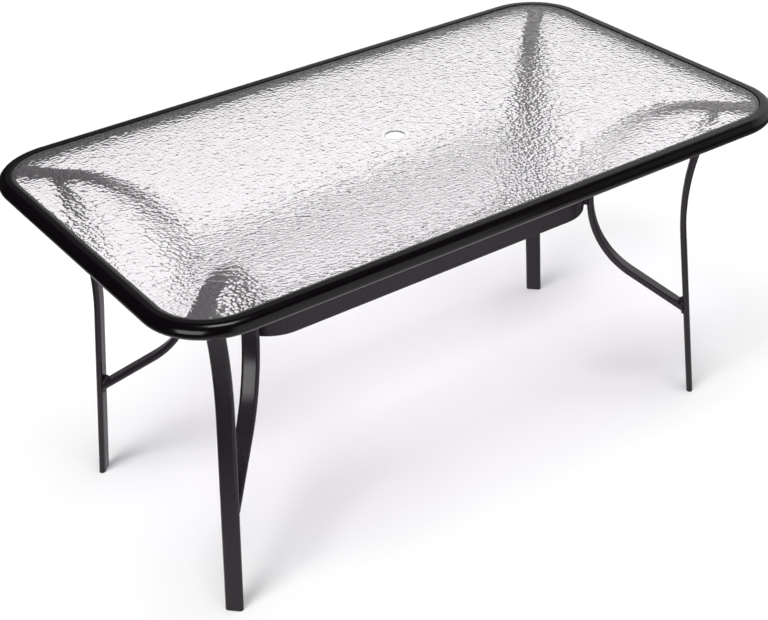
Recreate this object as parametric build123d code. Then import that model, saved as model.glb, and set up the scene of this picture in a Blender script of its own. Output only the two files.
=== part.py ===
from build123d import *
import math
import os

# Driving dimensions of the table, in mm; the floor is z = 0 and the origin is under the middle of the top
TABLE_LENGTH = 1400.0
TABLE_WIDTH = 800.0
TABLE_HEIGHT = 705.0

# Rim: one rolled tube, flat on top and half round outside, with a seat flange for the glass
RIM_WIDTH = 26.0
RIM_DEPTH = 30.0
RIM_CORNER_RADIUS = 130.0
RIM_WALL = 1.2
RIM_EDGE_ROUND = 1.5
SEAT_WIDTH = 8.0

# Glass, and the angle strip that beds it
GLASS_THICKNESS = 5.0
GLASS_RECESS = 1.0
GLASS_SIDE_GAP = 1.6
GLASS_EDGE_CHAMFER = 0.7
PARASOL_HOLE = 40.0
STRIP_BASE = 1.0
STRIP_CLEARANCE = 0.3
STRIP_TOP_DROP = 0.8

# Flat oval tube of the arms and the legs
TUBE_WIDTH = 35.0
TUBE_THICKNESS = 13.0
TUBE_WALL = 1.2

# Leg: straight from the floor, then one long bend that leans out to the rim, rising to the arm's under face
FOOT_INSET = 89.5
LEG_SPLAY = 5.65
LEG_BEND_RISE = 283.4
LEG_BEND_RADIUS = 562.0
CORNER_LEAN = 1.10

# Arm: level under the glass, bent through one big arc, then a straight tail back to the leg
ARM_SEAT_GAP = 0.4
ARM_LEVEL = 110.0
ARM_RADIUS = 215.8
ARM_TAIL_SLOPE = 34.7

# Apron: one pressed sheet along each long side, its ends bent into tabs that lie on brackets on the arms
APRON_HEIGHT = 50.0
APRON_DROP = 21.0
APRON_SHEET = 1.6
APRON_LIP = 10.0
APRON_BEND_RADIUS = 90.0
APRON_EDGE_ROUND = 1.2
TAB_LENGTH = 30.0

# Bracket: a pressed channel with its cheeks coped to the bent arm
BRACKET_STANDOFF = 6.0
BRACKET_SHEET = 3.0
BRACKET_MARGIN = 6.0
BRACKET_FLAT_MARGIN = 1.0
BRACKET_ROUND = 2.0

# Shelf: a plate on the rim's inner wall under each arm head, with one screw up into the arm
SHELF_LENGTH = 46.0
SHELF_WIDTH = 24.0
SHELF_SHEET = 4.0
SHELF_ROUND = 8.0
SHELF_SCREW_INSET = 14.0

# Screws, with plain shanks in place of threads, and their washers
SCREW_DIAMETER = 6.0
SCREW_CLEARANCE = 0.3
THREAD_CLEARANCE = 0.1
SCREW_PITCH = 22.0
SCREW_TIP = 2.0
HEAD_DIAMETER = 10.5
HEAD_HEIGHT = 3.3
HEAD_ROUND = 2.6
HEX_SOCKET = 4.0
HEX_DEPTH = 2.0
WASHER_DIAMETER = 12.5
WASHER_THICKNESS = 1.2

# Foot caps: a flange under the tube and a ribbed plug inside it
CAP_FLANGE = 3.0
CAP_PLUG = 18.0
CAP_CLEARANCE = 0.6
CAP_RIB = 1.2
CAP_RIB_CLEARANCE = 0.1
CAP_RIB_PITCH = 5.0
CAP_RIB_COUNT = 3
CAP_EDGE = 0.8

# Levels and places that follow from the driving dimensions
INNER_LENGTH = TABLE_LENGTH - 2 * RIM_WIDTH
INNER_WIDTH = TABLE_WIDTH - 2 * RIM_WIDTH
INNER_RADIUS = RIM_CORNER_RADIUS - RIM_WIDTH
RIM_BOTTOM = TABLE_HEIGHT - RIM_DEPTH
BULLNOSE = RIM_DEPTH / 2
GLASS_TOP = TABLE_HEIGHT - GLASS_RECESS
GLASS_UNDER = GLASS_TOP - GLASS_THICKNESS
SEAT_TOP = GLASS_UNDER - STRIP_BASE
SEAT_UNDER = SEAT_TOP - RIM_WALL
ARM_LEVEL_Z = SEAT_UNDER - ARM_SEAT_GAP - TUBE_THICKNESS / 2
ARM_UNDER = ARM_LEVEL_Z - TUBE_THICKNESS / 2
ARC_Z = ARM_LEVEL_Z - ARM_RADIUS
ARC_S = ARM_LEVEL - FOOT_INSET
ARM_REACH = ARC_S + ARM_RADIUS
LEG_STRAIGHT = ARM_UNDER - LEG_BEND_RISE
TAB_S = ARM_REACH + TUBE_THICKNESS / 2 + BRACKET_STANDOFF
APRON_LOW = ARC_Z - APRON_DROP
APRON_TOP = APRON_LOW + APRON_HEIGHT
APRON_MID = (APRON_LOW + APRON_TOP) / 2
BRACKET_WIDTH = TUBE_WIDTH - TUBE_THICKNESS - 2 * BRACKET_FLAT_MARGIN
SHELF_END = SHELF_LENGTH - FOOT_INSET
SHELF_UNDER = ARM_UNDER - SHELF_SHEET
APRON_GRIP = APRON_SHEET + BRACKET_SHEET
SHELF_GRIP = SHELF_SHEET + TUBE_WALL

# Reach of the blocks and rods that only cut, past anything they cut
WIDE = 4 * TUBE_WIDTH

# Rear right corner: the rim's wall on the corner's bisector, and the foot's reference point inside it
ROOT_HALF = math.sqrt(0.5)
WALL_X = INNER_LENGTH / 2 - INNER_RADIUS * (1 - ROOT_HALF)
WALL_Y = INNER_WIDTH / 2 - INNER_RADIUS * (1 - ROOT_HALF)
FOOT_X = WALL_X - FOOT_INSET * ROOT_HALF
FOOT_Y = WALL_Y - FOOT_INSET * ROOT_HALF
INWARD_HEADING = 225.0

# Corner frame: X (called s) runs inward from the foot along the bisector, Y across it; the frame leans about X
CORNER = (
    Location((FOOT_X, FOOT_Y, TABLE_HEIGHT))
    * Rotation(0, 0, INWARD_HEADING)
    * Rotation(CORNER_LEAN, 0, 0)
    * Location((0, 0, -TABLE_HEIGHT))
)

# Plan of the apron: its end bends turn square to the bisector, and each tab has its middle on the bracket's
APRON_TURN = math.radians(INWARD_HEADING - 180)
TAB_MIDDLE = (CORNER * Location((TAB_S, 0, APRON_MID))).position
APRON_BEND_X = TAB_MIDDLE.X - TAB_LENGTH / 2 * math.cos(APRON_TURN) - APRON_BEND_RADIUS * math.sin(APRON_TURN)
APRON_BEND_Y = TAB_MIDDLE.Y + TAB_LENGTH / 2 * math.sin(APRON_TURN) - APRON_BEND_RADIUS * math.cos(APRON_TURN)


def one_solid(shape):
    """The single solid of a result; more or fewer than one is an error."""
    solids = shape.solids()
    assert len(solids) == 1, len(solids)
    return solids[0]


def rectangle(x0, x1, y0, y1):
    """Plane rectangle between two corners."""
    return Pos((x0 + x1) / 2, (y0 + y1) / 2) * Rectangle(x1 - x0, y1 - y0)


def lip_plate(inset, low, high):
    """Upright prism inside the lip of the rim, smaller by inset all round."""
    outline = RectangleRounded(INNER_LENGTH - 2 * inset, INNER_WIDTH - 2 * inset, INNER_RADIUS - inset)
    return Pos(0, 0, low) * extrude(outline, amount=high - low)


def along_lip(section):
    """Carry an upright section, drawn with X outward from the lip, once round the lip of the rim."""
    lip = RectangleRounded(INNER_LENGTH, INNER_WIDTH, INNER_RADIUS).wire()
    start = Plane(origin=(0, -INNER_WIDTH / 2, 0), x_dir=(0, -1, 0), z_dir=(-1, 0, 0))
    return sweep(start * section, path=lip)


def rim_section(skin):
    """Section of the rim tube, smaller by skin all round."""
    flat = RIM_WIDTH - BULLNOSE
    top = TABLE_HEIGHT - skin
    low = RIM_BOTTOM + skin
    sides = Polyline((flat, low), (skin, low), (skin, top), (flat, top))
    nose = ThreePointArc((flat, top), (RIM_WIDTH - skin, (top + low) / 2), (flat, low))
    section = make_face([*sides.edges(), nose])
    return fillet(section.vertices().group_by(Axis.X)[0], RIM_EDGE_ROUND)


def make_rim():
    """Hollow tube ring with the seat flange standing inward under the glass."""
    tube = along_lip(rim_section(0)) - along_lip(rim_section(RIM_WALL))
    flange = along_lip(rectangle(-SEAT_WIDTH, RIM_WALL / 2, SEAT_UNDER, SEAT_TOP))
    return one_solid(tube + flange)


def make_glass():
    """Glass pane with eased edges and the parasol hole through its middle."""
    pane = lip_plate(GLASS_SIDE_GAP, GLASS_UNDER, GLASS_TOP)
    pane = pane - Pos(0, 0, GLASS_UNDER) * Cylinder(PARASOL_HOLE / 2, WIDE)
    levels = pane.edges().group_by(Axis.Z)
    return one_solid(chamfer(levels[0] + levels[-1], GLASS_EDGE_CHAMFER))


def make_strip():
    """Angle strip: a bed under the glass edge and a thin upstand between the glass and the lip."""
    bed = rectangle(-SEAT_WIDTH, -STRIP_CLEARANCE, SEAT_TOP, GLASS_UNDER)
    upstand_in = GLASS_SIDE_GAP - STRIP_CLEARANCE
    upstand = rectangle(-upstand_in, -STRIP_CLEARANCE, SEAT_TOP, GLASS_TOP - STRIP_TOP_DROP)
    return one_solid(along_lip(bed + upstand))


def slab(s0, s1, z0, z1, width):
    """Box in the corner frame between two s values and two heights."""
    return Pos((s0 + s1) / 2, 0, (z0 + z1) / 2) * Box(s1 - s0, width, z1 - z0)


def level_slab(low, high):
    """Level box round the foot in the table's frame."""
    return Pos(FOOT_X, FOOT_Y, (low + high) / 2) * Box(2 * WIDE, 2 * WIDE, high - low)


def oval_bar(path, inset):
    """Solid flat oval, smaller by inset all round, carried along a path in the corner's upright plane."""
    begin = Plane(origin=path @ 0, x_dir=(0, 1, 0), z_dir=path % 0)
    section = begin * SlotOverall(TUBE_WIDTH - 2 * inset, TUBE_THICKNESS - 2 * inset)
    return sweep(section, path=path)


def oval_tube(path):
    """Flat oval tube along a path."""
    return oval_bar(path, 0) - oval_bar(path, TUBE_WALL)


def leg_path():
    """Centre line of the leg from below the floor to the middle of the arm."""
    slope = math.radians(LEG_SPLAY)
    knee = (LEG_STRAIGHT * math.tan(slope), 0, LEG_STRAIGHT)
    below = (-WIDE * math.tan(slope), 0, -WIDE)
    centre_s = knee[0] - LEG_BEND_RADIUS * math.cos(slope)
    centre_z = LEG_STRAIGHT + LEG_BEND_RADIUS * math.sin(slope)
    turn = math.asin((ARM_LEVEL_Z - centre_z) / LEG_BEND_RADIUS)
    bend = [knee]
    for angle in ((turn - slope) / 2, turn):
        s = centre_s + LEG_BEND_RADIUS * math.cos(angle)
        z = centre_z + LEG_BEND_RADIUS * math.sin(angle)
        bend.append((s, 0, z))
    return Wire([Line(below, knee).edge(), ThreePointArc(*bend).edge()])


def arm_path():
    """Centre line of the arm from behind the rim's wall, over the big bend, to behind the leg's face."""
    slope = math.radians(ARM_TAIL_SLOPE)
    head = (-FOOT_INSET - WIDE, 0, ARM_LEVEL_Z)
    bend_start = (ARC_S, 0, ARM_LEVEL_Z)
    bend_middle = (ARM_REACH, 0, ARC_Z)
    bend_end = (ARC_S + ARM_RADIUS * math.sin(slope), 0, ARC_Z - ARM_RADIUS * math.cos(slope))
    tail_end = (0, 0, bend_end[2] - bend_end[0] * math.tan(slope))
    level = Line(head, bend_start)
    bend = ThreePointArc(bend_start, bend_middle, bend_end)
    tail = Line(bend_end, tail_end)
    return Wire([level.edge(), bend.edge(), tail.edge()])


def behind_leg_face():
    """Block on the outer side of the leg's straight inner face, as high as the arm's tail can reach."""
    return Rotation(0, LEG_SPLAY, 0) * slab(-WIDE, TUBE_THICKNESS / 2, 0, ARC_Z, WIDE)


def make_leg():
    """Leg tube, sawn level above the foot cap and flat under the arm."""
    tube = oval_tube(leg_path()) & slab(-WIDE, WIDE, -2 * WIDE, ARM_UNDER, WIDE)
    return one_solid((CORNER * tube) & level_slab(CAP_FLANGE, TABLE_HEIGHT))


def make_arm():
    """Arm tube, coped to the rim's rounded wall at its head and trimmed to the leg's face at its tail."""
    tube = oval_tube(arm_path()) - behind_leg_face() - screw_hole(shelf_place(), SHELF_GRIP, THREAD_CLEARANCE)
    return one_solid((CORNER * tube) & lip_plate(0, 0, TABLE_HEIGHT))


def make_shelf():
    """Plate under the arm's head, coped to the rim's rounded wall, with a rounded free end and a screw hole."""
    plate = slab(SHELF_END - WIDE, SHELF_END, SHELF_UNDER, ARM_UNDER, SHELF_WIDTH)
    free_corners = plate.edges().filter_by(Axis.Z).group_by(Axis.X)[-1]
    plate = fillet(free_corners, SHELF_ROUND)
    plate = plate - screw_hole(shelf_place(), SHELF_GRIP, SCREW_CLEARANCE)
    return one_solid((CORNER * plate) & lip_plate(0, 0, TABLE_HEIGHT))


def make_cap():
    """Foot cap: a flange flush with the tube and a plug with ribs, cut level like the tube."""
    path = leg_path()
    flange = (CORNER * oval_bar(path, 0)) & level_slab(0, CAP_FLANGE)
    flange = chamfer(flange.edges().group_by(Axis.Z)[0], CAP_EDGE)
    core = CORNER * oval_bar(path, TUBE_WALL + CAP_CLEARANCE)
    cap = flange + (core & level_slab(CAP_FLANGE / 2, CAP_FLANGE + CAP_PLUG))
    rib = CORNER * oval_bar(path, TUBE_WALL + CAP_RIB_CLEARANCE)
    for number in range(1, CAP_RIB_COUNT + 1):
        low = CAP_FLANGE + number * CAP_RIB_PITCH
        cap = cap + (rib & level_slab(low - CAP_RIB, low))
    return one_solid(cap)


def shelf_place():
    """Place of the screw axis on the shelf's under face, Z pointing down."""
    return Pos(SHELF_END - SHELF_SCREW_INSET, 0, SHELF_UNDER) * Rotation(180, 0, 0)


def apron_places():
    """Places of the upper and the lower screw axis on the tab's inner face, Z pointing inward."""
    face = TAB_S + APRON_SHEET
    return {
        "upper": Pos(face, 0, APRON_MID + SCREW_PITCH / 2) * Rotation(0, 90, 0),
        "lower": Pos(face, 0, APRON_MID - SCREW_PITCH / 2) * Rotation(0, 90, 0),
    }


def screw_hole(place, grip, clearance):
    """Rod in the corner frame that cuts one screw hole through the gripped sheets with a clearance."""
    return place * Cylinder(SCREW_DIAMETER / 2 + clearance, 2 * (grip + SCREW_TIP))


def apron_holes(clearance):
    """Rods for the upper and the lower hole of one tab."""
    return [screw_hole(place, APRON_GRIP, clearance) for place in apron_places().values()]


def make_bracket():
    """Channel with a flat face for the apron's tab and cheeks coped to the arm's bend."""
    low = APRON_LOW + BRACKET_MARGIN
    high = APRON_TOP - BRACKET_MARGIN
    root = ARM_REACH - TUBE_THICKNESS / 4
    block = slab(root, TAB_S, low, high, BRACKET_WIDTH)
    corners = block.edges().filter_by(Axis.Z).group_by(Axis.X)[-1]
    block = fillet(corners, BRACKET_ROUND)
    gap = BRACKET_WIDTH - 2 * BRACKET_SHEET
    inside = slab(root - WIDE, TAB_S - BRACKET_SHEET, low - WIDE, high + WIDE, gap)
    channel = block - inside - oval_bar(arm_path(), 0)
    for rod in apron_holes(THREAD_CLEARANCE):
        channel = channel - rod
    return one_solid(CORNER * channel)


def apron_side(offset, tab):
    """Edges of one face of the apron in plan, offset inward from the outer face, with end tabs of a length."""
    radius = APRON_BEND_RADIUS - offset
    points = []
    for angle in (0, APRON_TURN / 2, APRON_TURN):
        points.append((APRON_BEND_X + radius * math.sin(angle), APRON_BEND_Y + radius * math.cos(angle)))
    tip = (points[2][0] + tab * math.cos(APRON_TURN), points[2][1] - tab * math.sin(APRON_TURN))
    chain = points + [tip] if tab else points
    left = [(-x, y) for x, y in chain]
    edges = [Line(left[0], chain[0])]
    for half in (chain, left):
        edges.append(ThreePointArc(*half[:3]))
        if tab:
            edges.append(Line(half[2], half[3]))
    return edges, left[-1], chain[-1]


def apron_band(offset_out, offset_in, tab):
    """Plan of a band of the apron between two offsets from its outer face."""
    outer, outer_left, outer_right = apron_side(offset_out, tab)
    inner, inner_left, inner_right = apron_side(offset_in, tab)
    ends = [Line(outer_left, inner_left), Line(outer_right, inner_right)]
    return make_face([edge.edge() for edge in outer + inner + ends])


def make_apron():
    """Rear apron: sheet with rounded outer edges, stiffening lips inside, and screw holes in its end tabs."""
    sheet = Pos(0, 0, APRON_LOW) * extrude(apron_band(0, APRON_SHEET, TAB_LENGTH), amount=APRON_HEIGHT)
    for level in (0, -1):
        long_edges = sheet.edges().group_by(Axis.Z)[level].sort_by(SortBy.LENGTH)[-2:]
        sheet = fillet(long_edges.sort_by(Axis.Y)[-1], APRON_EDGE_ROUND)
    lip = extrude(apron_band(APRON_EDGE_ROUND, APRON_LIP, 0), amount=APRON_SHEET)
    apron = sheet + Pos(0, 0, APRON_LOW) * lip + Pos(0, 0, APRON_TOP - APRON_SHEET) * lip
    for rod in apron_holes(SCREW_CLEARANCE):
        hole = CORNER * rod
        apron = apron - hole - mirror(hole, about=Plane.YZ)
    return one_solid(apron)


def make_washer(place):
    """Washer on the face at a screw's place."""
    ring = Pos(0, 0, WASHER_THICKNESS / 2) * Cylinder(WASHER_DIAMETER / 2, WASHER_THICKNESS)
    ring = ring - Cylinder(SCREW_DIAMETER / 2 + SCREW_CLEARANCE, WIDE)
    return one_solid(CORNER * place * ring)


def make_screw(place, grip):
    """Button head screw with a hexagon socket; its tip stands past the gripped sheets."""
    head = Pos(0, 0, HEAD_HEIGHT / 2) * Cylinder(HEAD_DIAMETER / 2, HEAD_HEIGHT)
    head = fillet(head.edges().group_by(Axis.Z)[-1], HEAD_ROUND)
    socket = extrude(RegularPolygon(HEX_SOCKET / 2, 6, major_radius=False), amount=HEX_DEPTH)
    shank = WASHER_THICKNESS + grip + SCREW_TIP
    screw = head - Pos(0, 0, HEAD_HEIGHT - HEX_DEPTH) * socket
    screw = screw + Pos(0, 0, -shank / 2) * Cylinder(SCREW_DIAMETER / 2, shank)
    return one_solid(CORNER * place * Pos(0, 0, WASHER_THICKNESS) * screw)


def mirrored(shape, planes):
    """The shape mirrored about each plane in turn."""
    for plane in planes:
        shape = mirror(shape, about=plane)
    return shape


def corner_pieces():
    """Pieces of the rear right corner by name."""
    pieces = {
        "arm": make_arm(),
        "leg": make_leg(),
        "foot_cap": make_cap(),
        "rim_shelf": make_shelf(),
        "rim_screw": make_screw(shelf_place(), SHELF_GRIP),
        "rim_washer": make_washer(shelf_place()),
        "apron_bracket": make_bracket(),
    }
    for level, place in apron_places().items():
        pieces[f"apron_screw_{level}"] = make_screw(place, APRON_GRIP)
        pieces[f"apron_washer_{level}"] = make_washer(place)
    return pieces


def table_pieces():
    """Every piece of the table by node name."""
    pieces = {"rim_frame": make_rim(), "glass_top": make_glass(), "glass_strip": make_strip()}
    rear = make_apron()
    pieces["apron_rear"] = rear
    pieces["apron_front"] = mirror(rear, about=Plane.XZ)
    corners = {
        "rear_right": [],
        "rear_left": [Plane.YZ],
        "front_right": [Plane.XZ],
        "front_left": [Plane.YZ, Plane.XZ],
    }
    for name, shape in corner_pieces().items():
        for corner, planes in corners.items():
            pieces[f"{name}_{corner}"] = mirrored(shape, planes)
    return pieces


os.makedirs("parts", exist_ok=True)
for node, solid in table_pieces().items():
    export_step(solid, f"parts/{node}.step")
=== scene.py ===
# %% [markdown]
# # A glass garden table
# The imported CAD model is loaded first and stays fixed. It already has the right sizes, so this lesson only
# adds what a CAD solid cannot carry well: the rippled glass, the weld beads, the finishes, and a studio to
# look at them in.

# %% Load the fixed frame
import bmesh
import bpy
import math
from mathutils import Matrix, Vector


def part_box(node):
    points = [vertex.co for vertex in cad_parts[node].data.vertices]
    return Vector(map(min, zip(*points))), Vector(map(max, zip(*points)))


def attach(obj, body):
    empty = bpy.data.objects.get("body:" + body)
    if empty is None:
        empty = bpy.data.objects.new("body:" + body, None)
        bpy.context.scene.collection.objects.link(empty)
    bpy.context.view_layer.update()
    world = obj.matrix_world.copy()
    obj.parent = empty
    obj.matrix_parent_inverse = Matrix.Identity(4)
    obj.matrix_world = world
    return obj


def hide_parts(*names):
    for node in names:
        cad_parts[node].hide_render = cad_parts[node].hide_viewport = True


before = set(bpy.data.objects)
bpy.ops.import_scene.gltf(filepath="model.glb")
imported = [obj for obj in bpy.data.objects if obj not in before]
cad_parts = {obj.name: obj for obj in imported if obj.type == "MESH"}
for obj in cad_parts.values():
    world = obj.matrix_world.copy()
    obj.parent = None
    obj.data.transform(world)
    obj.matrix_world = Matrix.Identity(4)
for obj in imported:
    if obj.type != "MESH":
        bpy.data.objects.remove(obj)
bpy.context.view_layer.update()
print("CAD nodes:", len(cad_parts))

# %% [markdown]
# ## Working by hand in a script
# Blender's operators act on whatever is selected, and the loaded nodes are all selected at first. So every
# step starts from an empty selection, and inside edit mode the parts to work on are picked by where they
# lie.

# %% Selection helpers
MM = 0.001


def start_clean():
    """Leave edit mode and deselect every object."""
    if bpy.context.object and bpy.context.object.mode != "OBJECT":
        bpy.ops.object.mode_set(mode="OBJECT")
    bpy.ops.object.select_all(action="DESELECT")


def take(piece):
    """Make one object the only selected and active one."""
    start_clean()
    piece.select_set(True)
    bpy.context.view_layer.objects.active = piece


def pick_edges(test):
    """In edit mode, select just the edges whose two ends pass a test."""
    bpy.ops.mesh.select_mode(type="EDGE")
    bpy.ops.mesh.select_all(action="DESELECT")
    shape = bmesh.from_edit_mesh(bpy.context.object.data)
    for edge in shape.edges:
        if test(edge.verts[0].co, edge.verts[1].co):
            edge.select_set(True)
    bmesh.update_edit_mesh(bpy.context.object.data)


def apply_modifier(piece, kind, **settings):
    """Add a modifier with its settings and apply it at once."""
    take(piece)
    modifier = piece.modifiers.new(kind.lower(), kind)
    for name, value in settings.items():
        setattr(modifier, name, value)
    bpy.ops.object.modifier_apply(modifier=modifier.name)


# %% [markdown]
# ## Glass pane, its outline
# The pane is 5 mm glass cut to a rounded oblong, with its edges eased so that they do not cut a hand, and a
# parasol hole drilled through the middle. A block of the pane's size is the start. Its upright edges are
# bevelled with the corner radius, the hole is cut with a cylinder, and a small bevel eases every rim of the
# two faces.

# %% Pane outline
PANE_CORNER = 102.4 * MM
CORNER_STEPS = 32
HOLE_RADIUS = 20.0 * MM
HOLE_SIDES = 96
DRILL_LENGTH = 100.0 * MM

pane_low, pane_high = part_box("glass_top")
start_clean()
bpy.ops.mesh.primitive_cube_add(size=1, location=(pane_low + pane_high) / 2, scale=pane_high - pane_low)
pane = bpy.context.object
pane.name = "glass_pane"
bpy.ops.object.transform_apply(location=True, rotation=True, scale=True)
bpy.ops.object.mode_set(mode="EDIT")
pick_edges(lambda a, b: (a.xy - b.xy).length < MM)
bpy.ops.mesh.bevel(offset=PANE_CORNER, segments=CORNER_STEPS, affect="EDGES")
start_clean()
bpy.ops.mesh.primitive_cylinder_add(vertices=HOLE_SIDES, radius=HOLE_RADIUS, depth=DRILL_LENGTH,
                                    location=(0, 0, pane_low.z))
drill = bpy.context.object
apply_modifier(pane, "BOOLEAN", object=drill, operation="DIFFERENCE", solver="EXACT")
bpy.data.objects.remove(drill)
print("pane outline:", len(pane.data.vertices), "vertices")

# %% Eased edges
PANE_EASE = 0.7 * MM
NEAR_HOLE = 2 * HOLE_RADIUS
LEVEL_SLACK = 0.1 * MM


def on_pane_rim(a, b):
    """True for an edge that runs round the outline or the hole of one of the pane's two faces."""
    at_hole = [p.xy.length < NEAR_HOLE for p in (a, b)]
    at_outline = [min(pane_high.x - abs(p.x), pane_high.y - abs(p.y)) < PANE_CORNER for p in (a, b)]
    return (all(at_hole) or all(at_outline)) and abs(a.z - b.z) < LEVEL_SLACK


take(pane)
bpy.ops.object.mode_set(mode="EDIT")
pick_edges(on_pane_rim)
bpy.ops.mesh.bevel(offset=PANE_EASE, segments=1, affect="EDGES")
start_clean()
print("pane with eased edges:", len(pane.data.vertices), "vertices")

# %% [markdown]
# ## Glass pane, its rippled face
# Patterned glass is rolled while hot: one roller is smooth, the other presses a relief into the top. The
# relief bends the view, so whatever lies below breaks into flecks. It could be faked with a bump map alone,
# but real waves also show at the edge and in an exported mesh. So a fine grid is displaced by smooth noise,
# which fades out round the hole, where the glass was ground flat.

# %% Relief grid
GRID_STEP = 3.6 * MM
GRID_MARGIN = 10.0 * MM
RIPPLE_SIZE = 14.0 * MM
RIPPLE_HEIGHT = 1.0 * MM
RIPPLE_DEPTH = 0.5 * MM
FLAT_RADIUS = 22.0 * MM
FADE_RADIUS = 32.0 * MM

span = pane_high - pane_low
grid_span = Vector((span.x + GRID_MARGIN, span.y + GRID_MARGIN, 1))
start_clean()
bpy.ops.mesh.primitive_grid_add(
    x_subdivisions=round(grid_span.x / GRID_STEP), y_subdivisions=round(grid_span.y / GRID_STEP), size=1,
    location=(0, 0, pane_high.z - RIPPLE_DEPTH))
bpy.ops.transform.resize(value=grid_span)
relief = bpy.context.object
bpy.ops.object.transform_apply(location=True, rotation=True, scale=True)
rolled = relief.vertex_groups.new(name="rolled")
for vertex in relief.data.vertices:
    rolled_share = (vertex.co.xy.length - FLAT_RADIUS) / (FADE_RADIUS - FLAT_RADIUS)
    rolled.add([vertex.index], min(max(rolled_share, 0.0), 1.0), "REPLACE")
waves = bpy.data.textures.new("roller_waves", "CLOUDS")
waves.noise_basis = "IMPROVED_PERLIN"
waves.noise_scale = RIPPLE_SIZE
waves.noise_depth = 0
apply_modifier(relief, "DISPLACE", texture=waves, texture_coords="LOCAL", direction="Z",
               strength=RIPPLE_HEIGHT, mid_level=0.5, vertex_group="rolled")
depths = [pane_high.z - vertex.co.z for vertex in relief.data.vertices]
shallowest, deepest = round(min(depths) / MM, 3), round(max(depths) / MM, 3)
print("relief below the pane's highest level, mm:", shallowest, "to", deepest)

# %% [markdown]
# ## Glass pane, cut to its relief
# The grid is only a skin, and a pane is solid. Pulled down by more than the pane's thickness, the skin
# becomes a block with a rippled top, and what the block and the pane have in common is the finished glass.

# %% Rippled pane
SMOOTH_BELOW = math.radians(35)

take(relief)
bpy.ops.object.mode_set(mode="EDIT")
bpy.ops.mesh.select_all(action="SELECT")
bpy.ops.mesh.extrude_region_move(TRANSFORM_OT_translate={"value": (0, 0, -2 * span.z)})
bpy.ops.mesh.select_all(action="SELECT")
bpy.ops.mesh.normals_make_consistent(inside=False)
apply_modifier(pane, "BOOLEAN", object=relief, operation="INTERSECT", solver="MANIFOLD")
bpy.data.objects.remove(relief)
take(pane)
bpy.ops.object.shade_smooth_by_angle(angle=SMOOTH_BELOW)
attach(pane, "root")
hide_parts("glass_top")
print("glass pane:", len(pane.data.polygons), "faces")

# %% [markdown]
# ## Colours and nodes
# Colours are written as the hex values a painter would read off a screen, and turned to linear light once.
# One small function adds a shader node with its settings, its fixed inputs and its links, so each finish
# below stays readable.

# %% Material helpers
def hex_colour(text):
    """sRGB hex to linear colour with alpha."""
    channels = [int(text[i:i + 2], 16) / 255 for i in (0, 2, 4)]
    return tuple(c / 12.92 if c <= 0.04045 else ((c + 0.055) / 1.055) ** 2.4 for c in channels) + (1.0,)


def add_node(tree, kind, inputs=None, links=None, **settings):
    """Add one node with settings, fixed inputs and links from other sockets."""
    made = tree.nodes.new(kind)
    for name, value in settings.items():
        setattr(made, name, value)
    for socket, value in (inputs or {}).items():
        made.inputs[socket].default_value = value
    for socket, source in (links or {}).items():
        tree.links.new(source, made.inputs[socket])
    return made


def new_finish(name):
    """An empty node material: its tree, its output and the object coordinates."""
    finish = bpy.data.materials.new(name)
    finish.use_nodes = True
    tree = finish.node_tree
    tree.nodes.clear()
    output = add_node(tree, "ShaderNodeOutputMaterial")
    place = add_node(tree, "ShaderNodeTexCoord").outputs["Object"]
    return finish, tree, output, place


print("middle grey in linear light:", [round(c, 4) for c in hex_colour("808080")])

# %% [markdown]
# ## Finish of the glass
# Clear soda-lime glass, nearly colourless at 5 mm. The smooth underside is fire polished. The cut edges
# were ground, so they are frosted and catch light, the drilled hole most of all. The rolled top has a trace
# of haze, which lifts whatever is dark below it. Lamps shine through glass, so a shadow ray takes a tinted
# transparent way instead of being stopped. One function makes such a glass, and the four surfaces differ in
# roughness, clarity and relief.

# %% Clear glass
GLASS_COLOUR = "FAF7FA"
GLASS_SHADOW = "F8F6F9"
GLASS_IOR = 1.5


def clear_glass(name, roughness, clarity):
    """Clear glass that lets lamps through: the finish, its tree, its glass shader and its coordinates."""
    glass, tree, output, place = new_finish(name)
    tinted = add_node(tree, "ShaderNodeBsdfTransparent", inputs={"Color": hex_colour(GLASS_SHADOW)})
    body = add_node(tree, "ShaderNodeBsdfPrincipled", inputs={
        "Base Color": hex_colour(GLASS_COLOUR), "Roughness": roughness, "IOR": GLASS_IOR,
        "Transmission Weight": clarity})
    rays = add_node(tree, "ShaderNodeLightPath")
    mixed = add_node(tree, "ShaderNodeMixShader", links={
        0: rays.outputs["Is Shadow Ray"], 1: body.outputs[0], 2: tinted.outputs[0]})
    tree.links.new(mixed.outputs[0], output.inputs["Surface"])
    return glass, tree, body, place


under_glass = clear_glass("clear_glass_fire_polished", roughness=0.01, clarity=1.0)[0]
edge_glass = clear_glass("clear_glass_ground_edge", roughness=0.45, clarity=1.0)[0]
hole_glass = clear_glass("clear_glass_drilled_edge", roughness=0.45, clarity=0.6)[0]
rolled_glass, tree, body, place = clear_glass("clear_glass_rolled_relief", roughness=0.1, clarity=0.95)
print("glass finishes:", under_glass.name, edge_glass.name, hole_glass.name, rolled_glass.name)

# %% [markdown]
# ## Relief of the rolled side
# The roller leaves pebble-like domes about 8 mm across that meet in creases. A dome bends the view like a
# small lens, and a crease that lies across the view turns it back inside the glass, so it shows as a short
# dark dash. The domes are too small for the mesh, so they are a bump: the squared distance to the middle of
# the nearest cell, in a cell pattern whose rows are swayed by noise. The domes are lower in some patches,
# and gone close to the hole.

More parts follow.
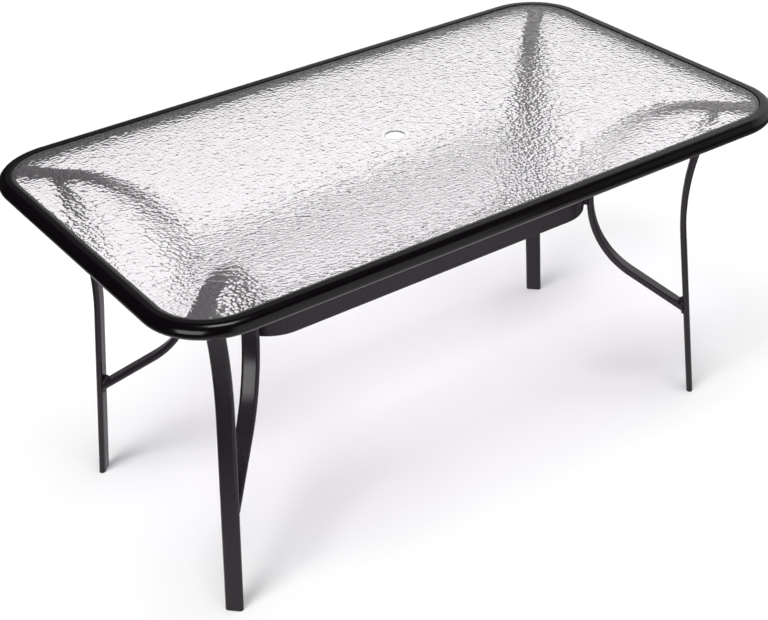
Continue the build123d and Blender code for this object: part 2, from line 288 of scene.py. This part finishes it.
# %% Pressed domes
CELL = 8.5 * MM
CELL_DISORDER = 0.75
CREASE_ROUNDING = 0.1
SWAY = 6.8 * MM
SWAY_SIZE = 2 * CELL
sway = add_node(tree, "ShaderNodeTexNoise", inputs={"Scale": 1 / SWAY_SIZE, "Detail": 1.0},
                links={"Vector": place})
swayed = add_node(tree, "ShaderNodeVectorMath", operation="MULTIPLY_ADD", inputs={1: (SWAY, SWAY, 0)},
                  links={0: sway.outputs["Color"], 2: place})
cells = add_node(tree, "ShaderNodeTexVoronoi", feature="SMOOTH_F1", voronoi_dimensions="2D",
                 inputs={"Scale": 1 / CELL, "Smoothness": CREASE_ROUNDING, "Randomness": CELL_DISORDER},
                 links={"Vector": swayed.outputs[0]})
dome = add_node(tree, "ShaderNodeMath", operation="POWER", inputs={1: 2.0},
                links={0: cells.outputs["Distance"]})
print("domes, mm across:", round(CELL / MM, 1))

# %% Patches of lower domes and the flat ring
CREASE_SLOPE = 0.165
PATCH_SIZE = 24.0 * MM
LOWEST_DOME = 0.8
patch = add_node(tree, "ShaderNodeTexNoise", inputs={"Scale": 1 / PATCH_SIZE, "Detail": 1.0},
                 links={"Vector": place})
pressed = add_node(tree, "ShaderNodeMapRange", links={"Value": patch.outputs["Fac"]},
                   inputs={"From Min": 0.35, "From Max": 0.65, "To Min": LOWEST_DOME, "To Max": 1.0})
level_place = add_node(tree, "ShaderNodeVectorMath", operation="MULTIPLY", inputs={1: (1, 1, 0)},
                       links={0: place})
from_hole = add_node(tree, "ShaderNodeVectorMath", operation="LENGTH", links={0: level_place.outputs[0]})
off_ring = add_node(tree, "ShaderNodeMapRange", interpolation_type="SMOOTHSTEP",
                    inputs={"From Min": FLAT_RADIUS, "From Max": FADE_RADIUS, "To Min": 0.0, "To Max": 1.0},
                    links={"Value": from_hole.outputs["Value"]})
patched = add_node(tree, "ShaderNodeMath", operation="MULTIPLY",
                   links={0: dome.outputs[0], 1: pressed.outputs[0]})
depth = add_node(tree, "ShaderNodeMath", operation="MULTIPLY",
                 links={0: patched.outputs[0], 1: off_ring.outputs[0]})
bump = add_node(tree, "ShaderNodeBump", invert=True, links={"Height": depth.outputs[0]},
                inputs={"Strength": 1.0, "Distance": CREASE_SLOPE * CELL})
tree.links.new(bump.outputs[0], body.inputs["Normal"])
print("relief nodes:", len(tree.nodes))

# %% [markdown]
# ## Glass on the pane's faces
# One pane carries all four finishes. Each face shows by its normal whether it lies above, below or on an
# edge, and an edge face near the middle belongs to the hole.

# %% Faces of the pane
FACE_TILT = 0.8
UNDER, ROLLED, EDGE, HOLE = range(4)
pane.data.materials.clear()
for glass in (under_glass, rolled_glass, edge_glass, hole_glass):
    pane.data.materials.append(glass)
for face in pane.data.polygons:
    if abs(face.normal.z) > FACE_TILT:
        face.material_index = ROLLED if face.normal.z > 0 else UNDER
    else:
        face.material_index = HOLE if face.center.xy.length < NEAR_HOLE else EDGE
print("rolled faces:", sum(face.material_index == ROLLED for face in pane.data.polygons))

# %% [markdown]
# ## Finish of the rim
# The rolled steel rim has a gloss black stove enamel. It mirrors the studio in long soft lines and is
# nearly black elsewhere. Enamel flows before it hardens and keeps a faint orange peel a few millimetres
# across, and its gloss drifts slowly along the rim. Noise seldom leaves its middle values, so these are
# spread over the roughness.

# %% Gloss black enamel
PEEL_SIZE = 3.0 * MM
ENAMEL_CLOUD = 60.0 * MM
SKIN_DEPTH = 0.1 * MM
NOISE_MIDDLE = {"From Min": 0.3, "From Max": 0.7}
rim_enamel, tree, output, place = new_finish("gloss_black_stove_enamel")
peel = add_node(tree, "ShaderNodeTexNoise", inputs={"Scale": 1 / PEEL_SIZE, "Detail": 1.0},
                links={"Vector": place})
cloud = add_node(tree, "ShaderNodeTexNoise", inputs={"Scale": 1 / ENAMEL_CLOUD, "Detail": 3.0},
                 links={"Vector": place})
gloss = add_node(tree, "ShaderNodeMapRange", inputs={**NOISE_MIDDLE, "To Min": 0.16, "To Max": 0.24},
                 links={"Value": cloud.outputs["Fac"]})
bump = add_node(tree, "ShaderNodeBump", inputs={"Strength": 0.12, "Distance": SKIN_DEPTH},
                links={"Height": peel.outputs["Fac"]})
paint = add_node(tree, "ShaderNodeBsdfPrincipled", inputs={"Base Color": hex_colour("060306"), "IOR": 1.45},
                 links={"Roughness": gloss.outputs[0], "Normal": bump.outputs[0]})
tree.links.new(paint.outputs[0], output.inputs["Surface"])
print("rim finish:", rim_enamel.name)

# %% [markdown]
# ## Finish of the tubes and sheets
# Legs, arms, aprons and brackets are powder coated in a satin black with a slight warm purple cast. The
# powder melts into a skin with fine grain, so highlights are broader and softer than on the rim.

# %% Satin black powder coat
GRAIN_SIZE = 1.6 * MM
POWDER_CLOUD = 45.0 * MM
powder_coat, tree, output, place = new_finish("satin_black_powder_coat")
grain = add_node(tree, "ShaderNodeTexNoise", inputs={"Scale": 1 / GRAIN_SIZE, "Detail": 2.0},
                 links={"Vector": place})
cloud = add_node(tree, "ShaderNodeTexNoise", inputs={"Scale": 1 / POWDER_CLOUD, "Detail": 3.0},
                 links={"Vector": place})
gloss = add_node(tree, "ShaderNodeMapRange", inputs={**NOISE_MIDDLE, "To Min": 0.19, "To Max": 0.28},
                 links={"Value": cloud.outputs["Fac"]})
bump = add_node(tree, "ShaderNodeBump", inputs={"Strength": 0.15, "Distance": SKIN_DEPTH},
                links={"Height": grain.outputs["Fac"]})
paint = add_node(tree, "ShaderNodeBsdfPrincipled", inputs={"Base Color": hex_colour("231D23"), "IOR": 1.5},
                 links={"Roughness": gloss.outputs[0], "Normal": bump.outputs[0]})
tree.links.new(paint.outputs[0], output.inputs["Surface"])
print("tube and sheet finish:", powder_coat.name)

# %% [markdown]
# ## Weld beads
# Each arm is welded to its leg twice: its tail to the leg's inner face, and its head to the top of the leg.
# A bead laid by hand is a row of overlapping puddles. One puddle is a sphere pressed oval, repeated along
# the seam, fused by a voxel remesh and roughened a little, so that the row keeps its ripple and is still
# one run of metal. The beads are made in the plane of the rear right corner's tubes, put in their place
# there, and mirrored to the other corners.

# %% Weld seams
SEAM = 22.0 * MM
CORNER_TOP = Vector((580.25, 280.25, 705.0)) * MM
CORNER_TURN = math.radians(225)
CORNER_LEAN = math.radians(1.10)
# A bead's place in the corner's plane, inward and up from the floor, and its puddles' radius, in millimetres
BEADS = {"tail_upper": (30.5, 228.0, 5.0), "tail_lower": (28.0, 206.5, 3.5),
         "head_inner": (2.0, 682.0, 3.0), "head_outer": (-14.0, 682.0, 3.0)}
CORNERS = {"rear_right": (1, 1, 1), "rear_left": (-1, 1, 1),
           "front_right": (1, -1, 1), "front_left": (-1, -1, 1)}
corner_turn = Matrix.Rotation(CORNER_TURN, 4, "Z") @ Matrix.Rotation(CORNER_LEAN, 4, "X")
corner_place = Matrix.Translation(CORNER_TOP) @ corner_turn @ Matrix.Translation((0, 0, -CORNER_TOP.z))
print("welds:", len(BEADS) * len(CORNERS))

# %% One bead
PUDDLE_STEP = 0.8
PUDDLE_OVAL = 0.7
WELD_VOXEL = 0.5 * MM
LUMP_SIZE = 4.0 * MM
LUMP_HEIGHT = 0.8 * MM
lumps = bpy.data.textures.new("weld_lumps", "CLOUDS")
lumps.noise_scale = LUMP_SIZE


def lay_bead(inward, height, radius):
    """A row of puddles along one seam of the rear right corner, fused to one run of metal."""
    puddles = round(SEAM / (PUDDLE_STEP * radius)) + 1
    start_clean()
    bpy.ops.mesh.primitive_uv_sphere_add(segments=24, ring_count=12, radius=radius,
                                         location=(inward, -SEAM / 2, height))
    bead = bpy.context.object
    bpy.ops.transform.resize(value=(1, PUDDLE_OVAL, 1))
    bpy.ops.object.transform_apply(location=True, rotation=True, scale=True)
    apply_modifier(bead, "ARRAY", count=puddles, use_relative_offset=False, use_constant_offset=True,
                   constant_offset_displace=(0, SEAM / (puddles - 1), 0))
    apply_modifier(bead, "REMESH", mode="VOXEL", voxel_size=WELD_VOXEL)
    apply_modifier(bead, "DISPLACE", texture=lumps, texture_coords="LOCAL", strength=LUMP_HEIGHT,
                   mid_level=0.5)
    apply_modifier(bead, "SMOOTH", factor=0.5, iterations=2)
    bead.matrix_world = corner_place
    bpy.ops.object.transform_apply(location=True, rotation=True, scale=True)
    print("bead puddles:", puddles, "faces:", len(bead.data.polygons))
    return bead


print("weld lumps, mm:", round(LUMP_HEIGHT / MM, 1))

# %% Beads at all corners
for bead_name, millimetres in BEADS.items():
    bead = lay_bead(*[length * MM for length in millimetres])
    for corner_name, flips in CORNERS.items():
        take(bead)
        bpy.ops.object.duplicate()
        weld = bpy.context.object
        weld.name = f"weld_{bead_name}_{corner_name}"
        bpy.ops.transform.resize(value=flips, center_override=(0, 0, 0))
        bpy.ops.object.transform_apply(location=True, rotation=True, scale=True)
        bpy.ops.object.mode_set(mode="EDIT")
        bpy.ops.mesh.select_all(action="SELECT")
        bpy.ops.mesh.normals_make_consistent(inside=False)
        bpy.ops.object.mode_set(mode="OBJECT")
        bpy.ops.object.shade_smooth()
        weld.data.materials.append(powder_coat)
        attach(weld, "root")
    bpy.data.objects.remove(bead)
    print("weld", bead_name, "at", len(CORNERS), "corners")

# %% [markdown]
# ## Finish of the strip
# The strip that beds the glass is extruded soft PVC. The die drags on it, so it is dark and matt with a
# slight change in sheen every few millimetres.

# %% Strip
DRAG_SIZE = 4.0 * MM
strip_pvc, tree, output, place = new_finish("black_extruded_pvc")
drag = add_node(tree, "ShaderNodeTexNoise", inputs={"Scale": 1 / DRAG_SIZE, "Detail": 2.0},
                links={"Vector": place})
sheen = add_node(tree, "ShaderNodeMapRange", inputs={**NOISE_MIDDLE, "To Min": 0.45, "To Max": 0.6},
                 links={"Value": drag.outputs["Fac"]})
skin = add_node(tree, "ShaderNodeBsdfPrincipled", inputs={"Base Color": hex_colour("101011")},
                links={"Roughness": sheen.outputs[0]})
tree.links.new(skin.outputs[0], output.inputs["Surface"])
print("strip finish:", strip_pvc.name)

# %% [markdown]
# ## Finish of the foot caps
# The caps are moulded polyethylene, black and a little waxy. Where they rub on the floor, the lowest two
# millimetres are scuffed grey, so a scuff noise is let through only near the floor.

# %% Foot caps
SCUFF_HEIGHT = 2.2 * MM
SCUFF_SIZE = 2.5 * MM
cap_plastic, tree, output, place = new_finish("black_moulded_polyethylene")
axes = add_node(tree, "ShaderNodeSeparateXYZ", links={0: place})
low_part = add_node(tree, "ShaderNodeMapRange", links={"Value": axes.outputs["Z"]},
                    inputs={"From Min": 0.0, "From Max": SCUFF_HEIGHT, "To Min": 1.0, "To Max": 0.0})
rub = add_node(tree, "ShaderNodeTexNoise", inputs={"Scale": 1 / SCUFF_SIZE, "Detail": 3.0},
               links={"Vector": place})
scuff = add_node(tree, "ShaderNodeMath", operation="MULTIPLY",
                 links={0: low_part.outputs[0], 1: rub.outputs["Fac"]})
# Sockets 6 and 7 of a colour mix are its two colours, and output 2 is the mixed one
shade = add_node(tree, "ShaderNodeMix", data_type="RGBA", links={0: scuff.outputs[0]},
                 inputs={6: hex_colour("141315"), 7: hex_colour("2B2A2C")})
skin = add_node(tree, "ShaderNodeBsdfPrincipled", inputs={"Roughness": 0.45},
                links={"Base Color": shade.outputs[2]})
tree.links.new(skin.outputs[0], output.inputs["Surface"])
print("cap finish:", cap_plastic.name)

# %% [markdown]
# ## Finish of the fasteners
# Screws and washers are zinc plated, a dull blue-grey metal. The bath leaves a fine mottle, which shows
# only as a change in gloss.

# %% Fasteners
MOTTLE_SIZE = 1.5 * MM
zinc, tree, output, place = new_finish("zinc_plated_steel")
mottle = add_node(tree, "ShaderNodeTexNoise", inputs={"Scale": 1 / MOTTLE_SIZE, "Detail": 3.0},
                  links={"Vector": place})
dull = add_node(tree, "ShaderNodeMapRange", inputs={**NOISE_MIDDLE, "To Min": 0.28, "To Max": 0.42},
                links={"Value": mottle.outputs["Fac"]})
plate = add_node(tree, "ShaderNodeBsdfPrincipled", links={"Roughness": dull.outputs[0]},
                 inputs={"Base Color": hex_colour("B4B8BC"), "Metallic": 1.0})
tree.links.new(plate.outputs[0], output.inputs["Surface"])
print("fastener finish:", zinc.name)

# %% [markdown]
# ## Finishes on the CAD nodes
# The CAD solids keep their shapes and only get a finish. Every node's name starts with the kind of piece it
# is, so one list of those starts is enough.

# %% CAD finishes
FINISHES = {"rim_frame": rim_enamel, "glass_strip": strip_pvc, "glass_top": rolled_glass,
            "foot_cap": cap_plastic, "arm": powder_coat, "leg": powder_coat,
            "apron_front": powder_coat, "apron_rear": powder_coat, "apron_bracket": powder_coat,
            "rim_shelf": powder_coat, "apron_screw": zinc, "apron_washer": zinc,
            "rim_screw": zinc, "rim_washer": zinc}
for name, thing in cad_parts.items():
    finish = next(made for start, made in FINISHES.items() if name.startswith(start))
    thing.material_slots[0].material = finish
print("finishes on CAD nodes:", len(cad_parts))

# %% [markdown]
# ## Studio floor
# The table stands on a wide sheet of pale matt paper, which takes the soft shadows. A weak glow, which only
# the camera and the glass see, lifts the paper to white where no shadow falls, so the lamps can stay at a
# plain level.

# %% Paper
PAPER_SIZE = 12.0
GLOW_TO_CAMERA = 0.075
GLOW_THROUGH_GLASS = 0.11
start_clean()
bpy.ops.mesh.primitive_plane_add(size=PAPER_SIZE, location=(0, 0, 0))
floor = bpy.context.object
floor.name = "studio_floor"
paper, tree, output, place = new_finish("white_studio_paper")
rays = add_node(tree, "ShaderNodeLightPath")
through = add_node(tree, "ShaderNodeMath", operation="MULTIPLY", inputs={1: GLOW_THROUGH_GLASS},
                   links={0: rays.outputs["Is Transmission Ray"]})
glow_level = add_node(tree, "ShaderNodeMath", operation="MULTIPLY_ADD", inputs={1: GLOW_TO_CAMERA},
                      links={0: rays.outputs["Is Camera Ray"], 2: through.outputs[0]})
glow = add_node(tree, "ShaderNodeEmission", inputs={"Color": hex_colour("FFFDFF")},
                links={"Strength": glow_level.outputs[0]})
matt = add_node(tree, "ShaderNodeBsdfDiffuse", inputs={"Color": hex_colour("E1E1E1")})
lit = add_node(tree, "ShaderNodeAddShader", links={0: matt.outputs[0], 1: glow.outputs[0]})
print("floor:", floor.name)

# %% [markdown]
# ## What gloss sees of the floor
# The black paint is given a painted reflection of the floor. The floor glows with a bright pool of painted
# light, with soft borders, that mirrored rays alone see, as if the paper were lit only round the table. Four
# borders, two along each axis, are multiplied. A ray through rough glass counts as mirrored too, so rays that
# passed through glass are taken off.

# %% Painted reflection pool
# A border's axis, where it starts and ends in metres, and the brightness before and after it
PAINTED_POOL_BORDERS = (("Y", -2.6, -1.7, 0.05, 0.6), ("Y", 0.9, 1.3, 1.0, 0.3),
                ("X", -1.3, -0.8, 0.1, 1.0), ("X", 0.6, 1.3, 1.0, 0.25))
axes = add_node(tree, "ShaderNodeSeparateXYZ", links={0: place})
painted_pool = None
for axis, start, end, before, after in PAINTED_POOL_BORDERS:
    border = add_node(tree, "ShaderNodeMapRange", interpolation_type="SMOOTHSTEP",
                      inputs={"From Min": start, "From Max": end, "To Min": before, "To Max": after},
                      links={"Value": axes.outputs[axis]})
    if painted_pool:
        border = add_node(tree, "ShaderNodeMath", operation="MULTIPLY",
                          links={0: painted_pool.outputs[0], 1: border.outputs[0]})
    painted_pool = border
# Painted light: this glow is the painted reflection that glossy rays see in place of the lit paper
painted_reflection = add_node(tree, "ShaderNodeEmission", inputs={"Color": hex_colour("FFF9FF")},
                    links={"Strength": painted_pool.outputs[0]})
by_gloss = add_node(tree, "ShaderNodeMath", operation="SUBTRACT", use_clamp=True, links={
    0: rays.outputs["Is Glossy Ray"], 1: rays.outputs["Is Transmission Ray"]})
both = add_node(tree, "ShaderNodeMixShader",
                links={0: by_gloss.outputs[0], 1: lit.outputs[0], 2: painted_reflection.outputs[0]})
tree.links.new(both.outputs[0], output.inputs["Surface"])
floor.data.materials.append(paper)
print("pool borders:", len(PAINTED_POOL_BORDERS))

# %% [markdown]
# ## Studio room
# The room is dim but for one wide bright wall at the right, which lies as a pale sheen on the glass. The
# wall ends below the ceiling. Only the camera, and what the glass shows below the horizon, see plain white
# in place of the room.

# %% Room light
ROOM_DIM = 0.03
WALL_BRIGHT = 0.7
WALL_TOWARDS = (0.985, 0.174, 0)
world = bpy.data.worlds.new("studio_room")
bpy.context.scene.world = world
world.use_nodes = True
tree = world.node_tree
tree.nodes.clear()
way = add_node(tree, "ShaderNodeTexCoord").outputs["Generated"]
rise = add_node(tree, "ShaderNodeSeparateXYZ", links={0: way}).outputs["Z"]
facing = add_node(tree, "ShaderNodeVectorMath", operation="DOT_PRODUCT", inputs={1: WALL_TOWARDS},
                  links={0: way})
wall_side = add_node(tree, "ShaderNodeMapRange", interpolation_type="SMOOTHSTEP",
                     inputs={"From Min": 0.35, "From Max": 0.85, "To Min": 0.0, "To Max": 1.0},
                     links={"Value": facing.outputs["Value"]})
wall_top = add_node(tree, "ShaderNodeMapRange", interpolation_type="SMOOTHSTEP",
                    inputs={"From Min": 0.6, "From Max": 0.75, "To Min": 1.0, "To Max": 0.0},
                    links={"Value": rise})
wall = add_node(tree, "ShaderNodeMath", operation="MULTIPLY",
                links={0: wall_side.outputs[0], 1: wall_top.outputs[0]})
room_level = add_node(tree, "ShaderNodeMapRange", inputs={"To Min": ROOM_DIM, "To Max": WALL_BRIGHT},
                      links={"Value": wall.outputs[0]})
print("room, dim and bright:", ROOM_DIM, WALL_BRIGHT)

# %% White background
rays = add_node(tree, "ShaderNodeLightPath")
below = add_node(tree, "ShaderNodeMath", operation="LESS_THAN", inputs={1: 0.0}, links={0: rise})
through = add_node(tree, "ShaderNodeMath", operation="MULTIPLY", links={
    0: rays.outputs["Is Transmission Ray"], 1: below.outputs[0]})
seen = add_node(tree, "ShaderNodeMath", operation="MAXIMUM", links={
    0: rays.outputs["Is Camera Ray"], 1: through.outputs[0]})
# Sockets 2 and 3 of a number mix are its two numbers
strength = add_node(tree, "ShaderNodeMix", data_type="FLOAT", inputs={3: 1.0}, links={
    0: seen.outputs[0], 2: room_level.outputs[0]})
room = add_node(tree, "ShaderNodeBackground", inputs={"Color": hex_colour("FFFFFF")},
                links={"Strength": strength.outputs[0]})
add_node(tree, "ShaderNodeOutputWorld", links={"Surface": room.outputs[0]})
print("world:", world.name)

# %% [markdown]
# ## Lamps
# A softbox overhead gives the rim its long line of light. Black metal shows mostly what it mirrors, so a
# white card in front and a panel at the left are there for the paint alone. Two wide suns, one from the
# left and one overhead, stand for large sheets of light: they light the table and make its soft shadows. No
# mirror or glass shows them, because a sheet of light that far away would be seen as a disc.

# %% Softbox and cards
def soft_lamp(name, place, target, size, power):
    """A square area lamp that points at a target."""
    lamp = bpy.data.lights.new(name, "AREA")
    lamp.shape = "SQUARE"
    lamp.size = size
    lamp.energy = power
    holder = bpy.data.objects.new(name, lamp)
    bpy.context.scene.collection.objects.link(holder)
    holder.location = place
    holder.rotation_euler = (Vector(target) - Vector(place)).to_track_quat("-Z", "Y").to_euler()
    return holder


softbox = soft_lamp("top_softbox", place=(-0.4, -0.5, 3.2), target=(-0.2, -0.1, 0.7), size=0.9, power=20)
softbox.visible_transmission = False
card = soft_lamp("front_card", place=(0.15, -1.75, 0.75), target=(0.15, 0, 0.75), size=1.5, power=4.6)
panel = soft_lamp("left_panel", place=(-2.1, -1.15, 0.95), target=(-0.43, -0.13, 0.45), size=1.2, power=17)
for mirror_only in (card, panel):
    mirror_only.visible_camera = False
    mirror_only.visible_diffuse = False
    mirror_only.visible_transmission = False
print("soft lamps:", softbox.name, card.name, panel.name)

# %% Suns
# A sun's direction of travel, its width in degrees and its strength
SUNS = {"left_key": ((0.58, 0.2, -1), 25, 1.9), "overhead_sheet": ((0.0, 0.14, -1), 35, 1.85)}
for name, (travel, width, power) in SUNS.items():
    lamp = bpy.data.lights.new(name, "SUN")
    lamp.energy = power
    lamp.angle = math.radians(width)
    sun = bpy.data.objects.new(name, lamp)
    bpy.context.scene.collection.objects.link(sun)
    sun.rotation_euler = Vector(travel).to_track_quat("-Z", "Y").to_euler()
    sun.visible_glossy = False
    sun.visible_transmission = False
print("suns:", ", ".join(SUNS))

# %% [markdown]
# ## Camera
# The lens, place and roll come from fitting the table's rim, hole and feet to the photograph of the real
# table. The camera's three axes are worked out from the compass angle, the drop of the view and the roll.

# %% Camera
IMAGE_WIDTH = 768
FOCAL_PIXELS = 1596.9
SENSOR_WIDTH = 36.0
CAMERA_PLACE = (-1.5998, -2.3041, 2.0700)
VIEW_AZIMUTH = math.radians(-34.069)
VIEW_DROP = math.radians(32.218)
VIEW_ROLL = math.radians(-2.208)
camera_data = bpy.data.cameras.new("table_camera")
camera_data.sensor_width = SENSOR_WIDTH
camera_data.lens = FOCAL_PIXELS * SENSOR_WIDTH / IMAGE_WIDTH
camera = bpy.data.objects.new("table_camera", camera_data)
bpy.context.scene.collection.objects.link(camera)
forward = Vector((-math.sin(VIEW_AZIMUTH) * math.cos(VIEW_DROP), math.cos(VIEW_AZIMUTH) * math.cos(VIEW_DROP),
                  -math.sin(VIEW_DROP)))
right = Vector((math.cos(VIEW_AZIMUTH), math.sin(VIEW_AZIMUTH), 0))
up = right.cross(forward)
right_rolled = math.cos(VIEW_ROLL) * right + math.sin(VIEW_ROLL) * up
up_rolled = math.cos(VIEW_ROLL) * up - math.sin(VIEW_ROLL) * right
turn = Matrix((right_rolled, up_rolled, -forward)).transposed().to_4x4()
camera.matrix_world = Matrix.Translation(CAMERA_PLACE) @ turn
bpy.context.scene.camera = camera
bpy.context.scene.view_settings.view_transform = "Standard"
print("lens, mm:", round(camera_data.lens, 2))
